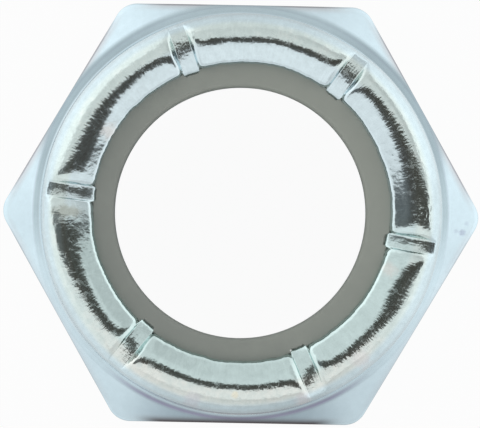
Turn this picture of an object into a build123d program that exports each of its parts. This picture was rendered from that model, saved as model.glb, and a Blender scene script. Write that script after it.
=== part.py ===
from build123d import *
from math import cos, radians, sin, sqrt, tan
import os

# Nylon insert lock nut for a 3/4-10 UNC thread, regular height, in zinc plated steel. Sizes are in mm.
# The origin is the centre of the bearing face. +Z runs along the thread to the crown, two of the
# hexagon's corners are on the X axis and two of its flats face +Y and -Y.

# Hexagon
across_flats = 26.99
corner_radius = 1.5
hexagon_height = 15.1
bearing_inset = 0.7  # from the flats to the edge of the bearing face
bearing_chamfer_angle = 30
top_chamfer_angle = 30

# Collar, and the crown that is rolled from it over the insert
nut_height = 22.2
foot_inset = 0.13  # from the flats to the foot of the collar
foot_bevel = 0.5
collar_wall = 1.1
crown_radius = 1.65
lip_slope = 25  # degrees down from the crest to the edge of the lip
lip_length = 1.12  # of its straight part
lip_edge_bevel = 0.15

# Thread
thread_diameter = 19.05
thread_depth = 1.2  # the bore is the thread's minor diameter
countersink_margin = 0.375  # of the countersink's mouth round the thread
countersink_angle = 45  # from the axis

# Nylon insert
shoulder_height = 16.4
insert_grip = 0.52  # the insert's bore is this much smaller in diameter than the steel bore
insert_recess = 0.42  # from the edge of the lip down to the nylon
insert_edge_bevel = 0.3

# Stakes, pressed across the crown at these angles from the +X corner
stake_angles = (53.3, 110.3, 173.5, 231.2, 294.1, 350.9)
stake_width = 1
stake_depth = 0.5  # at the crest
stake_floor_radius = 4  # along the stake
stake_flare_angle = 45
stake_push = 0.2  # of the bent strip past the edge of the lip
stake_headroom = 0.8  # of the cutter above the stake's floor

# Radii and places that follow from the sizes above
hexagon_radius = across_flats / 2
foot_radius = hexagon_radius - foot_inset
collar_radius = foot_radius - foot_bevel
pocket_radius = collar_radius - collar_wall
pocket_roll = crown_radius - collar_wall
bore_radius = thread_diameter / 2 - thread_depth
insert_radius = bore_radius - insert_grip / 2
roll_center = Vector(collar_radius - crown_radius, nut_height - crown_radius)
roll_end_angle = 90 + lip_slope
inward = Vector(-cos(radians(lip_slope)), -sin(radians(lip_slope)))  # down the lip, in the section
into_lip = Vector(-inward.Y, inward.X)  # through the lip, from its top to its underside


def on_roll(radius, angle):
    """Point of the section at a radius and an angle round the centre of the crown's roll."""
    return roll_center + Vector(cos(radians(angle)), sin(radians(angle))) * radius


def roll(radius, start_angle, end_angle):
    """Arc of the section round the centre of the crown's roll."""
    angles = (start_angle, (start_angle + end_angle) / 2, end_angle)
    return ThreePointArc(*(on_roll(radius, angle) for angle in angles))


def lip_tip(depth):
    """Point on the edge of the lip, at a depth below the lip's top."""
    return on_roll(crown_radius, roll_end_angle) + inward * lip_length + into_lip * depth


def nut_section():
    """Half section of the nut: chamfers, collar, rolled crown, insert pocket and bore."""
    blank_radius = across_flats
    mouth_radius = thread_diameter / 2 + countersink_margin
    countersink_depth = (mouth_radius - bore_radius) / tan(radians(countersink_angle))
    bearing_radius = hexagon_radius - bearing_inset
    bearing_rise = (blank_radius - bearing_radius) * tan(radians(bearing_chamfer_angle))
    top_drop = (blank_radius - foot_radius) * tan(radians(top_chamfer_angle))
    with BuildSketch() as section:
        with BuildLine():
            Polyline(
                (bore_radius, countersink_depth),
                (mouth_radius, 0),
                (bearing_radius, 0),
                (blank_radius, bearing_rise),
                (blank_radius, hexagon_height - top_drop),
                (foot_radius, hexagon_height),
                (collar_radius, hexagon_height + foot_bevel),
                on_roll(crown_radius, 0),
            )
            roll(crown_radius, 0, roll_end_angle)
            Polyline(
                on_roll(crown_radius, roll_end_angle),
                lip_tip(0),
                lip_tip(collar_wall),
                on_roll(pocket_roll, roll_end_angle),
                on_roll(pocket_roll, 0),
                (pocket_radius, shoulder_height),
                (bore_radius, shoulder_height),
                (bore_radius, countersink_depth),
            )
        make_face()
        lip_corner = section.vertices().sort_by_distance(lip_tip(0))[0]
        chamfer(lip_corner, lip_edge_bevel)
    return section.sketch


def hexagonal_bar():
    """Bar as tall as the nut, with the rounded corners of a cold formed blank."""
    hexagon = RegularPolygon(hexagon_radius, 6, major_radius=False)
    return extrude(fillet(hexagon.vertices(), corner_radius), nut_height)


def insert_section():
    """Half section of the insert, which fills the pocket up to the underside of the lip."""
    top_at_lip = lip_tip(insert_recess / -into_lip.Y)
    with BuildSketch() as section:
        with BuildLine():
            Polyline(
                (insert_radius, shoulder_height),
                (pocket_radius, shoulder_height),
                on_roll(pocket_roll, 0),
                on_roll(pocket_roll, roll_end_angle),
                lip_tip(collar_wall),
                top_at_lip,
                (insert_radius, top_at_lip.Y),
                (insert_radius, shoulder_height),
            )
        make_face()
        bore_corner = section.vertices().sort_by_distance((insert_radius, top_at_lip.Y))[0]
        top_width = top_at_lip.X - insert_radius
        chamfer(bore_corner, min(insert_edge_bevel, top_width / 2))
    return section.sketch


def stake_path(inner_radius, outer_radius):
    """Run of a stake's floor over the crown, between two distances from the axis."""
    center = Vector(roll_center.X, nut_height - stake_depth - stake_floor_radius)
    path_radii = (inner_radius, (inner_radius + outer_radius) / 2, outer_radius)
    rises = (sqrt(stake_floor_radius**2 - (radius - center.X) ** 2) for radius in path_radii)
    return Plane.XZ * ThreePointArc(*((r, center.Y + rise) for r, rise in zip(path_radii, rises)))


def stake_profile(path, top, bottom):
    """Section across a stake at the start of its run, flared above its floor."""
    flare = tan(radians(stake_flare_angle))
    top_half, bottom_half = (stake_width / 2 + max(height, 0) * flare for height in (top, bottom))
    corners = ((-top_half, top), (-bottom_half, bottom), (bottom_half, bottom), (top_half, top))
    across = Plane(origin=path @ 0, x_dir=(0, 1, 0), z_dir=path % 0)
    return across * Polygon(*corners, align=None)


def round_the_crown(shape):
    """Copies of a shape at every stake."""
    return [Rot(0, 0, angle) * shape for angle in stake_angles]


def stake_channels():
    """Channels that the punch leaves across the crown, out to where their floors meet its roll."""
    path = stake_path(lip_tip(0).X - 2 * stake_push, collar_radius + stake_push)
    return round_the_crown(sweep(stake_profile(path, stake_headroom, 0), path=path))


def stake_strips():
    """Strips of the lip that the punch bends down into the insert."""
    path = stake_path(lip_tip(0).X - stake_push, on_roll(crown_radius, roll_end_angle).X)
    return round_the_crown(sweep(stake_profile(path, 0, -collar_wall), path=path))


def nut_body():
    """Steel nut with its staked crown."""
    turned = revolve(Plane.XZ * nut_section(), Axis.Z)
    return (turned & hexagonal_bar()) - stake_channels() + stake_strips()


def nylon_insert():
    """Nylon ring, with a dent under each stake."""
    return revolve(Plane.XZ * insert_section(), Axis.Z) - stake_strips()


os.makedirs("parts", exist_ok=True)
for name, shape in {"nut_body": nut_body(), "nylon_insert": nylon_insert()}.items():
    export_step(shape, f"parts/{name}.step")
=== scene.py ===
"""Looks of the nylon insert lock nut: its steel body, its insert, and the studio round them."""

import logging
from dataclasses import dataclass, field
from enum import Enum
from math import atan2, cos, degrees, pi, radians, sin, sqrt, tan
from typing import Mapping, Sequence, Union

import bmesh
import bpy
import numpy as np
from mathutils import Matrix, Vector

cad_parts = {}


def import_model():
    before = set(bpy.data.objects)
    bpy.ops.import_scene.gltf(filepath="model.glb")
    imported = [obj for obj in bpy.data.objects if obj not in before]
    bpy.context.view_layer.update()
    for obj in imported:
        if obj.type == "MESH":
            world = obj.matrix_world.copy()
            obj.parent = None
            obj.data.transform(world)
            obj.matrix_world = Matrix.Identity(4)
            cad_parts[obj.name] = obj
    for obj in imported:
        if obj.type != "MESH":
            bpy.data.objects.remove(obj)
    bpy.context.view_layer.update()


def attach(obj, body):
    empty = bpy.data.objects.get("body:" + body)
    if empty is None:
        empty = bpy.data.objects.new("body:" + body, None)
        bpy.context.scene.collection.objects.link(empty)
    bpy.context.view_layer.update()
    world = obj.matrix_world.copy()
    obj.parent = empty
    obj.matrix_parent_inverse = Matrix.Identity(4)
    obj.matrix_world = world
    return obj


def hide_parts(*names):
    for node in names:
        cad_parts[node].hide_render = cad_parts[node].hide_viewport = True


LOG = logging.getLogger("lock_nut")
MM = 0.001  # metres; sizes are held in millimetres and points become metres when a mesh is made
PER_METRE = 1000.0  # millimetres

Colour = tuple[float, float, float]
Point = tuple[float, float]
Span = tuple[float, float]  # where something begins to rise from 0, and where it reaches 1
Columns = np.ndarray  # one number for each column of a skin
Ring = np.ndarray  # one point for each column
Measure = Union[float, np.ndarray]  # the same for every column, or one for each


# ---------------------------------------------------------------- shader values


class Value:
    """One output of a node, on which Python's arithmetic adds Math nodes."""

    def __init__(self, tree: "NodeTree", socket: bpy.types.NodeSocket | None) -> None:
        """Wraps a socket.

        Args:
            tree: The tree that the socket's node is in.
            socket: The output socket, or None for a node that has none.
        """
        self.tree = tree
        self.socket = socket

    def _math(self, operation: str, *operands: "Operand") -> "Value":
        """Adds a Math node.

        Args:
            operation: The node's operation.
            operands: Its operands, in order.

        Returns:
            The node's result.
        """
        return self.tree.add("ShaderNodeMath", {"operation": operation}, dict(enumerate(operands)))

    def __add__(self, other: "Operand") -> "Value":
        """Sum."""
        return self._math("ADD", self, other)

    def __radd__(self, other: "Operand") -> "Value":
        """Sum with a number on the left."""
        return self._math("ADD", other, self)

    def __sub__(self, other: "Operand") -> "Value":
        """Difference."""
        return self._math("SUBTRACT", self, other)

    def __rsub__(self, other: "Operand") -> "Value":
        """Difference from a number."""
        return self._math("SUBTRACT", other, self)

    def __mul__(self, other: "Operand") -> "Value":
        """Product."""
        return self._math("MULTIPLY", self, other)

    def __rmul__(self, other: "Operand") -> "Value":
        """Product with a number on the left."""
        return self._math("MULTIPLY", other, self)

    def __truediv__(self, other: "Operand") -> "Value":
        """Quotient."""
        return self._math("DIVIDE", self, other)

    def __rtruediv__(self, other: "Operand") -> "Value":
        """Quotient of a number."""
        return self._math("DIVIDE", other, self)

    def __pow__(self, other: "Operand") -> "Value":
        """Power."""
        return self._math("POWER", self, other)

    def __abs__(self) -> "Value":
        """Size without its sign."""
        return self._math("ABSOLUTE", self)

    def at_most(self, other: "Operand") -> "Value":
        """The lesser of this and another."""
        return self._math("MINIMUM", self, other)

    def at_least(self, other: "Operand") -> "Value":
        """The greater of this and another."""
        return self._math("MAXIMUM", self, other)

    def step(self, start: float, end: float) -> "Value":
        """Rises smoothly from 0 to 1 as this value goes from start to end.

        Args:
            start: Where the rise begins.
            end: Where it ends, which may be below start.

        Returns:
            The eased value.
        """
        settings = {"interpolation_type": "SMOOTHSTEP"}
        low, high = min(start, end), max(start, end)
        rise = self.tree.add(
            "ShaderNodeMapRange", settings, {"Value": self, "From Min": low, "From Max": high}
        )
        return rise if start < end else 1 - rise

    def band(self, low: float, high: float, edge: float) -> "Value":
        """1 between two values and 0 outside them.

        Args:
            low: Lower edge of the band.
            high: Upper edge of the band.
            edge: Half the width of each soft edge.

        Returns:
            The mask.
        """
        return self.step(low - edge, low + edge) * self.step(high + edge, high - edge)


Operand = Union[Value, float, Sequence[float]]


class NodeTree:
    """A material's or the world's nodes, added one at a time."""

    def __init__(self, tree: bpy.types.NodeTree) -> None:
        """Empties a node tree.

        Args:
            tree: The tree to fill.
        """
        self.tree = tree
        tree.nodes.clear()

    def add(
        self,
        kind: str,
        settings: Mapping[str, object] | None = None,
        sockets: Mapping[Union[int, str], Operand] | None = None,
        output: Union[int, str] = 0,
    ) -> Value:
        """Adds a node of any type.

        Args:
            kind: The node's type.
            settings: Its properties, which are set before its sockets.
            sockets: A value or a link for each input that isn't left alone.
            output: Which output to give back.

        Returns:
            That output.
        """
        node = self.tree.nodes.new(kind)
        for name, setting in (settings or {}).items():
            setattr(node, name, setting)
        for key, value in (sockets or {}).items():
            socket = node.inputs[key]
            if isinstance(value, Value):
                self.tree.links.new(value.socket, socket)
            elif isinstance(value, (int, float)):
                socket.default_value = value
            else:
                room = len(socket.default_value)
                socket.default_value = (*value, 1.0)[:room]
        return Value(self, node.outputs[output] if node.outputs else None)

    def mix(self, factor: Operand, first: Operand, second: Operand) -> Value:
        """Mixes two colours.

        Args:
            factor: 0 for the first, 1 for the second.
            first: The first colour.
            second: The second colour.

        Returns:
            The mixed colour.
        """
        settings = {"data_type": "RGBA"}
        return self.add("ShaderNodeMix", settings, {0: factor, 6: first, 7: second}, 2)

    def vector(self, x: Operand, y: Operand, z: Operand) -> Value:
        """Joins three values into a vector."""
        return self.add("ShaderNodeCombineXYZ", None, {0: x, 1: y, 2: z})

    def parts(self, vector: Value) -> tuple[Value, Value, Value]:
        """Splits a vector.

        Args:
            vector: The vector.

        Returns:
            Its three parts.
        """
        node = self.add("ShaderNodeSeparateXYZ", None, {0: vector}).socket.node
        return Value(self, node.outputs[0]), Value(self, node.outputs[1]), Value(self, node.outputs[2])

    def place(self) -> tuple[Value, Value, Value]:
        """Place in the object's own frame, in millimetres."""
        x, y, z = self.parts(self.add("ShaderNodeTexCoord", None, None, "Object"))
        return x * PER_METRE, y * PER_METRE, z * PER_METRE

    def noise(
        self,
        where: Value,
        scale: float = 1.0,
        detail: float = 2.0,
        rough: float = 0.5,
        bent: float = 0.0,
    ) -> Value:
        """Noise about zero.

        Args:
            where: Place in the noise.
            scale: How many features there are to a unit.
            detail: Number of finer layers.
            rough: Share that each finer layer has.
            bent: How much the noise is distorted.

        Returns:
            A value from about -0.5 to 0.5.
        """
        sockets = {"Vector": where, "Scale": scale, "Detail": detail, "Roughness": rough, "Distortion": bent}
        return self.add("ShaderNodeTexNoise", None, sockets) - 0.5

    def surface(self, height: Value, sockets: Mapping[Union[int, str], Operand]) -> None:
        """Ends a material in a Principled shader.

        Args:
            height: Height of the fine relief, in millimetres.
            sockets: The shader's inputs, apart from its normal.
        """
        bump = self.add("ShaderNodeBump", None, {"Strength": 1.0, "Distance": MM, "Height": height})
        shader = self.add("ShaderNodeBsdfPrincipled", None, {**sockets, "Normal": bump})
        self.add("ShaderNodeOutputMaterial", None, {"Surface": shader})


def new_material(name: str) -> tuple[bpy.types.Material, NodeTree]:
    """Makes a material.

    Args:
        name: The material's name.

    Returns:
        The material and its empty node tree.
    """
    made = bpy.data.materials.new(name)
    made.use_nodes = True
    return made, NodeTree(made.node_tree)


def distance(x: Value, y: Value) -> Value:
    """Distance of a point that lies x and y away."""
    return (x * x + y * y) ** 0.5


# ---------------------------------------------------------------- skins


def new_object(name: str, data: bpy.types.ID) -> bpy.types.Object:
    """Makes an object.

    Args:
        name: The object's name.
        data: Its mesh or camera.

    Returns:
        The object, in the scene.
    """
    made = bpy.data.objects.new(name, data)
    bpy.context.scene.collection.objects.link(made)
    return made


class Skin:
    """A closed mesh that is gathered ring by ring."""

    def __init__(self) -> None:
        """Starts with no points."""
        self.points: list[np.ndarray] = []
        self.faces: list[tuple[int, ...]] = []
        self.count = 0

    def ring(self, points: Ring) -> np.ndarray:
        """Adds points.

        Args:
            points: Their places, in millimetres.

        Returns:
            Their numbers.
        """
        numbers = np.arange(self.count, self.count + len(points))
        self.points.append(points)
        self.count += len(points)
        return numbers

    def join(self, first: np.ndarray, second: np.ndarray) -> None:
        """Fills the space between two rings with as many points as each other."""
        after = np.roll(np.arange(len(first)), -1)
        quads = np.stack([first, first[after], second[after], second], 1)
        self.faces.extend(map(tuple, quads.tolist()))

    def zip(self, first: np.ndarray, second: np.ndarray, angles: Columns, others: Columns) -> None:
        """Fills the space between two rings that have different numbers of points.

        Args:
            first: Numbers of the first ring's points.
            second: Numbers of the second ring's points.
            angles: Rising angles of the first ring's points.
            others: Rising angles of the second ring's points.
        """
        here, there = 0, 0
        while here < len(first) or there < len(second):
            one, other = first[here % len(first)], second[there % len(second)]
            next_angle = angles[here + 1] if here + 1 < len(first) else angles[0] + 2 * pi
            other_angle = others[there + 1] if there + 1 < len(second) else others[0] + 2 * pi
            ahead = there == len(second) or (here < len(first) and next_angle <= other_angle)
            if ahead:
                here += 1
                self.faces.append((one, first[here % len(first)], other))
            else:
                there += 1
                self.faces.append((one, second[there % len(second)], other))

    def piece(self, name: str) -> bpy.types.Object:
        """Makes the piece.

        Args:
            name: The piece's name.

        Returns:
            The object, smooth shaded and with its faces turned outwards.
        """
        mesh = bpy.data.meshes.new(name)
        mesh.from_pydata((np.concatenate(self.points) * MM).tolist(), [], self.faces)
        work = bmesh.new()
        work.from_mesh(mesh)
        bmesh.ops.recalc_face_normals(work, faces=work.faces)
        for face in work.faces:
            face.smooth = True
        work.to_mesh(mesh)
        work.free()
        return new_object(name, mesh)


def points_at(angles: Columns, r: Columns, z: Columns) -> Ring:
    """Points at angles, radii and heights."""
    return np.stack([r * np.cos(angles), r * np.sin(angles), z], 1)


@dataclass(frozen=True)
class Corner:
    """A corner of a half section, which may be rounded, and the rows on the run up to it."""

    r: Union[float, Columns]
    z: Union[float, Columns]
    radius: float = 0.0
    steps: int = 4  # faces round the corner
    run: tuple[float, ...] = ()  # places of rows on the straight run up to the corner, from 0 to 1


def section_rows(corners: Sequence[Corner], columns: int) -> list[tuple[Columns, Columns]]:
    """Rows of a half section that runs from corner to corner.

    Args:
        corners: The corners in order. The first and last are left sharp.
        columns: Number of columns.

    Returns:
        The radius and height of each row, at each column.
    """
    places = [
        np.stack([np.broadcast_to(part, columns) for part in (corner.r, corner.z)], 1) for corner in corners
    ]
    rows: list[np.ndarray] = [places[0].astype(float)]
    for number, corner in enumerate(corners[1:], 1):
        here = places[number]
        arc: list[np.ndarray] = [here]
        if corner.radius and number + 1 < len(corners):
            back, ahead = places[number - 1] - here, places[number + 1] - here
            back = back / np.linalg.norm(back, axis=1, keepdims=True)
            ahead = ahead / np.linalg.norm(ahead, axis=1, keepdims=True)
            half = np.arccos(np.clip((back * ahead).sum(1), -1, 1)) / 2
            middle = back + ahead
            middle = middle / np.linalg.norm(middle, axis=1, keepdims=True)
            centre = here + middle * (corner.radius / np.sin(half))[:, None]
            start = here + back * (corner.radius / np.tan(half))[:, None] - centre
            end = here + ahead * (corner.radius / np.tan(half))[:, None] - centre
            turn = pi - 2 * half
            arc = []
            for step in range(corner.steps + 1):
                share = step / corner.steps
                leaving = np.sin((1 - share) * turn) / np.sin(turn)
                nearing = np.sin(share * turn) / np.sin(turn)
                arc.append(centre + start * leaving[:, None] + end * nearing[:, None])
        before = rows[-1]
        rows.extend(before + (arc[0] - before) * share for share in corner.run)
        rows.extend(arc)
    return [(row[:, 0], row[:, 1]) for row in rows]


def ease(value: np.ndarray, start: float, end: float) -> np.ndarray:
    """Rises smoothly from 0 to 1 as a value goes from start to end.

    Args:
        value: The value.
        start: Where the rise begins.
        end: Where it ends, which may be below start.

    Returns:
        The eased value.
    """
    share = np.clip((value - start) / (end - start), 0, 1)
    return share * share * (3 - 2 * share)


def drifted(drift: Point, columns: Columns) -> Columns:
    """How far a circle stands out at each column when its centre has drifted from the axis."""
    return drift[0] * np.cos(columns) + drift[1] * np.sin(columns)


@dataclass(frozen=True)
class Ripple:
    """Uneven waves round the axis."""

    waves: tuple[int, int]  # least and greatest number of waves in a turn
    size: float  # their rough height
    seed: int
    lowest: float = 0.4  # height of the lowest wave, as a share of the highest
    peak: float = 1.4  # their rough height over their root mean square

    def at(self, angles: np.ndarray) -> np.ndarray:
        """Height of the waves.

        Args:
            angles: Angles in radians.

        Returns:
            The height at each angle.
        """
        dice = np.random.default_rng(self.seed)
        numbers = np.arange(self.waves[0], self.waves[1] + 1)
        phases = dice.uniform(0, 2 * pi, len(numbers))
        heights = dice.uniform(self.lowest, 1.0, len(numbers))
        waves = zip(numbers, heights, phases)
        total = sum(height * np.cos(number * angles + phase) for number, height, phase in waves)
        return total * self.size / sqrt(float((heights**2).sum()) / 2) / self.peak


# ---------------------------------------------------------------- the nut's forms


@dataclass(frozen=True)
class Dip:
    """How the crown sinks towards a stake on one side of it."""

    slope: float  # fall of the metal where the stake's wall begins
    reach: float  # distance over which the dip fades
    sag: float = 0.0  # how far the crown sinks again beyond the dip


@dataclass(frozen=True)
class Stake:
    """One punch mark across the crown."""

    angle: float  # degrees from the +X corner
    before: Dip
    after: Dip
    depth: float = 0.5  # at the crest
    lean: float = 0.0  # how much deeper the floor is on its farther side, as a share of its depth
    push: float = 0.2  # of its strip past the edge of the lip
    half: float = 0.5  # half the width of its floor
    cup: float = 0.075  # how much shallower the floor is at its sides, as a share of its depth


@dataclass(frozen=True)
class Dent:
    """A small pit or bruise in the rolled metal."""

    angle: float  # degrees from the +X corner
    place: float  # degrees round the roll from the outer wall
    size: float  # radius
    depth: float


@dataclass(frozen=True)
class Bend:
    """A stretch of the roll whose crest stands nearer the axis."""

    angle: float  # degrees from the +X corner
    spread: float  # degrees
    shift: float


@dataclass(frozen=True)
class Crown:
    """The collar's top, rolled over the insert and staked."""

    collar_radius: float = 12.865
    wall: float = 1.1
    top: float = 22.2
    roll_radius: float = 1.65
    lip_slope: float = 25.0
    lip_length: float = 1.12
    lip_round: float = 0.42
    lip_spread: float = 0.12  # of the metal down the lip, on average
    drift: Point = (0.118, 0.03)  # of the crest from the axis
    edge_drift: Point = (0.062, -0.078)  # of the lip's edge from the crest
    oval: float = -0.045  # by which the crown is narrower along Y
    wander: Ripple = Ripple((3, 12), 0.02, 7)  # of the crest from its circle
    wall_share: float = 0.6  # of the crest's drift that the top of the collar's wall has
    drift_rise: Span = (5.0, 75.0)  # degrees round the roll over which the rest comes in
    waver: Ripple = Ripple((5, 24), 0.006, 6)  # of the rolled metal, out of its plain surface
    waver_rise: Span = (5.0, 60.0)  # degrees round the roll over which it comes in
    waver_turn: float = 0.004  # radians that its waves turn in a degree round the roll
    settling: float = 0.0095  # of the crown below its plain height
    ragged: tuple[Ripple, ...] = (  # edge of the lip
        Ripple((2, 6), 0.02, 3),
        Ripple((14, 60), 0.02, 4),
        Ripple((90, 240), 0.016, 5),
    )
    floor_radii: tuple[float, float] = (3.2, 3.3)  # along a stake, inside and outside the crest
    least_share: float = 0.02  # least size of the dips beside a stake, as a share of that at the crest
    wall_run: float = 0.27  # of a stake's side wall, from its floor to where the crown only dips
    wall_slope: float = 1.1
    soft: float = 0.015  # rounding between the wall and the dip
    stake_reach: float = 50.0  # degrees either side of a stake within which it counts
    sag_start: float = 1.35  # distance from the edge of a stake's floor at which the sag begins
    sag_width: float = 2.6  # from there to its full depth
    sag_end: Span = (3.2, 7.0)  # distances from the edge of the floor over which the crown comes back
    sag_fade: Span = (94.0, 115.0)  # degrees round the roll over which the sag fades out
    strip_reach: float = 12.0  # degrees either side of a stake within which its bent strip lies
    strip_edge: float = 0.05  # width of the step at the strip's sides
    strip_round: float = 0.5  # rounding of the strip's edge, as a share of the lip's
    round_fade: float = 0.1  # width over which the one rounding turns into the other
    notch_place: float = 0.12  # of the nick beside a strip, from its side
    notch_width: float = 0.08
    notch_depth: float = 0.06
    middle_radius: float = 11.2  # at which the columns across a stake are spaced
    floor_columns: tuple[float, ...] = (0.0, 0.13, 0.26, 0.37, 0.44, 0.48)  # from the stake's middle
    wall_columns: tuple[float, ...] = (0.505, 0.53, 0.56, 0.6, 0.65, 0.7, 0.75, 0.8)
    dip_columns: tuple[float, ...] = (0.84, 0.88, 0.92, 0.96, 1.0, 1.05, 1.11, 1.18, 1.26, 1.35, 1.45)
    column_gap: float = 0.6  # degrees between columns away from the stakes
    straight_end: Span = (7.4, 11.5)  # degrees from a stake over which the columns stop following it
    stakes: tuple[Stake, ...] = (
        Stake(53.3, Dip(0.65, 0.32), Dip(0.7, 0.3), 0.5, -0.05, 0.16, 0.5, 0.02),
        Stake(110.3, Dip(0.7, 0.28), Dip(0.65, 0.3), 0.5, 0.05, 0.2, 0.5, 0.03),
        Stake(173.5, Dip(0.5, 0.4, 0.02), Dip(0.24, 1.15), 0.5, -0.02, 0.16, 0.45, 0.105),
        Stake(231.2, Dip(0.65, 0.28), Dip(0.65, 0.3), 0.5, 0.1, 0.28, 0.5),
        Stake(294.1, Dip(0.65, 0.32), Dip(0.6, 0.32), 0.5, 0.0, 0.2, 0.5, 0.14),
        Stake(350.9, Dip(0.45, 0.42), Dip(0.45, 0.45), 0.5, 0.09, 0.24, 0.42),
    )
    bends: tuple[Bend, ...] = (Bend(158.0, 9.5, 0.16), Bend(336.0, 8.0, 0.08))
    dents: tuple[Dent, ...] = (
        Dent(96.2, 52, 0.2, 0.05),
        Dent(22.0, 47, 0.14, 0.03),
        Dent(30.5, 45, 0.12, 0.025),
        Dent(268.5, 73, 0.22, 0.03),
        Dent(336.0, 44, 0.18, 0.03),
        Dent(284.0, 50, 0.12, 0.03),
        Dent(76.5, 48, 0.1, 0.02),
    )

    @property
    def centre(self) -> Point:
        """Centre of the roll in the half section."""
        return self.collar_radius - self.roll_radius, self.top - self.roll_radius

    @property
    def inward(self) -> Point:
        """Direction down the lip in the half section."""
        slope = radians(self.lip_slope)
        return -cos(slope), -sin(slope)

    @staticmethod
    def outward(angle: float) -> Point:
        """Direction out of the roll in the half section, at degrees round it from the outer wall."""
        return cos(radians(angle)), sin(radians(angle))

    def columns(self) -> Columns:
        """Angles of the columns in radians, rising, and close together across each stake."""
        half = self.floor_columns + self.wall_columns + self.dip_columns
        offsets = np.array([-offset for offset in half[:0:-1]] + list(half))
        across = np.degrees(np.arcsin(offsets / self.middle_radius))
        marks = [stake.angle for stake in self.stakes]
        angles: list[float] = []
        for here, after in zip(marks, marks[1:] + [marks[0] + 360]):
            first, last = here + across[-1], after + across[0]
            fill = int(round((last - first) / self.column_gap))
            angles.extend((here + across).tolist())
            angles.extend(np.linspace(first, last, fill + 1)[1:-1].tolist())
        return np.radians(np.sort(np.array(angles) % 360))

    def warp(self, columns: Columns, radius: np.ndarray, share: float = 1.0) -> Columns:
        """Angles of the columns at a radius, so that they run straight along each stake.

        Args:
            columns: The columns' angles.
            radius: The radius at each column.
            share: How far to go from the columns' own angles.

        Returns:
            The angles at that radius.
        """
        far = 0.9  # greatest sine, so that columns far from the stake have an angle too
        angles = columns.copy()
        for stake in self.stakes:
            off = self.turned(columns, stake.angle)
            near = 1 - ease(np.abs(off), *map(radians, self.straight_end))
            straight = np.arcsin(np.clip(self.middle_radius * np.sin(off) / radius, -far, far))
            angles += np.where(near > 0, near * share * (straight - off), 0)
        return angles

    @staticmethod
    def turned(columns: Columns, angle: float) -> Columns:
        """Angles of the columns in radians from an angle in degrees."""
        return (columns - radians(angle) + pi) % (2 * pi) - pi

    def floor(self, depth: float, r: Measure, z: Measure, normal: Point) -> Measure:
        """Distance from the plain crown down to a stake's floor.

        Args:
            depth: The stake's depth at the crest.
            r: Radius of the place on the plain crown.
            z: Its height.
            normal: Direction out of the crown there.

        Returns:
            The distance along the normal, or 0 where the floor lies above the crown.
        """
        floor_radius = np.where(r < self.centre[0], *self.floor_radii)
        off_r, off_z = r - self.centre[0], z - (self.top - depth - floor_radius)
        along = off_r * normal[0] + off_z * normal[1]
        inside = floor_radius**2 - off_r**2 - off_z**2 + along**2
        return np.maximum(0.0, along - np.sqrt(np.maximum(inside, 0.0)))

    def cut(self, stake: Stake, turned: Columns, floor: Measure, sagging: float) -> Columns:
        """Depth of a stake and of the crown's dips beside it.

        Args:
            stake: The stake.
            turned: Angles of the columns from the stake.
            floor: Distance from the plain crown down to the stake's floor.
            sagging: Share of the sag that this row has.

        Returns:
            The depth at each column.
        """
        across = self.middle_radius * np.sin(turned)
        past = np.maximum(np.abs(across) - stake.half, 0)
        slope = np.where(across < 0, stake.before.slope, stake.after.slope)
        reach = np.where(across < 0, stake.before.reach, stake.after.reach)
        sag = np.where(across < 0, stake.before.sag, stake.after.sag)
        share = np.maximum(floor / stake.depth, self.least_share)
        reach, run = reach * share, self.wall_run * share
        beyond = past - run
        fall = np.where(beyond > 0, reach * np.exp(-np.maximum(beyond, 0) / reach), reach - beyond)
        left = 1 - np.clip((past - self.sag_start) / self.sag_width, 0, 1)
        dip = slope * fall + sag * sagging * share * (1 - left**2 - ease(past, *self.sag_end))
        side = np.clip(across / stake.half, -1, 1)
        wall = floor * (1 + stake.lean * side - stake.cup * side**2) - self.wall_slope * past
        deeper = self.soft * np.logaddexp(wall / self.soft, dip / self.soft)
        return np.where(np.abs(turned) < radians(self.stake_reach), deeper, 0)

    def sunk(self, columns: Columns, r: Measure, z: Measure, normal: Point) -> Columns:
        """Depth of the stakes, of the crown's dips beside them and of the dents.

        Args:
            columns: The columns' angles.
            r: Radius of the row on the plain crown.
            z: Its height.
            normal: Direction out of the crown there.

        Returns:
            The depth below the plain crown at each column.
        """
        depth = np.zeros_like(columns)
        outer = 90 - degrees(atan2(normal[0], normal[1]))
        sagging = 1 - float(ease(np.array(outer), *self.sag_fade))
        for stake in self.stakes:
            floor = self.floor(stake.depth, r, z, normal)
            depth += self.cut(stake, self.turned(columns, stake.angle), floor, sagging)
        for dent in self.dents:
            across = self.middle_radius * self.turned(columns, dent.angle)
            down = self.roll_radius * radians(outer - dent.place)
            depth += dent.depth * np.exp(-((across**2 + down**2) / dent.size**2) ** 1.5)
        return depth

    def bent(self, columns: Columns) -> Columns:
        """How far the bends bring the crest in."""
        turns = ((bend, self.turned(columns, bend.angle) / radians(bend.spread)) for bend in self.bends)
        return sum((bend.shift * np.exp(-(turn**2)) for bend, turn in turns), np.zeros_like(columns))

    def beside(self, columns: Columns, stake: Stake) -> tuple[np.ndarray, Columns]:
        """Finds the columns of a stake's strip.

        Args:
            columns: The columns' angles.
            stake: The stake.

        Returns:
            Which columns are near the stake, and how far each is from the middle of its floor.
        """
        turned = self.turned(columns, stake.angle)
        return np.abs(turned) < radians(self.strip_reach), np.abs(self.middle_radius * np.sin(turned))

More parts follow.
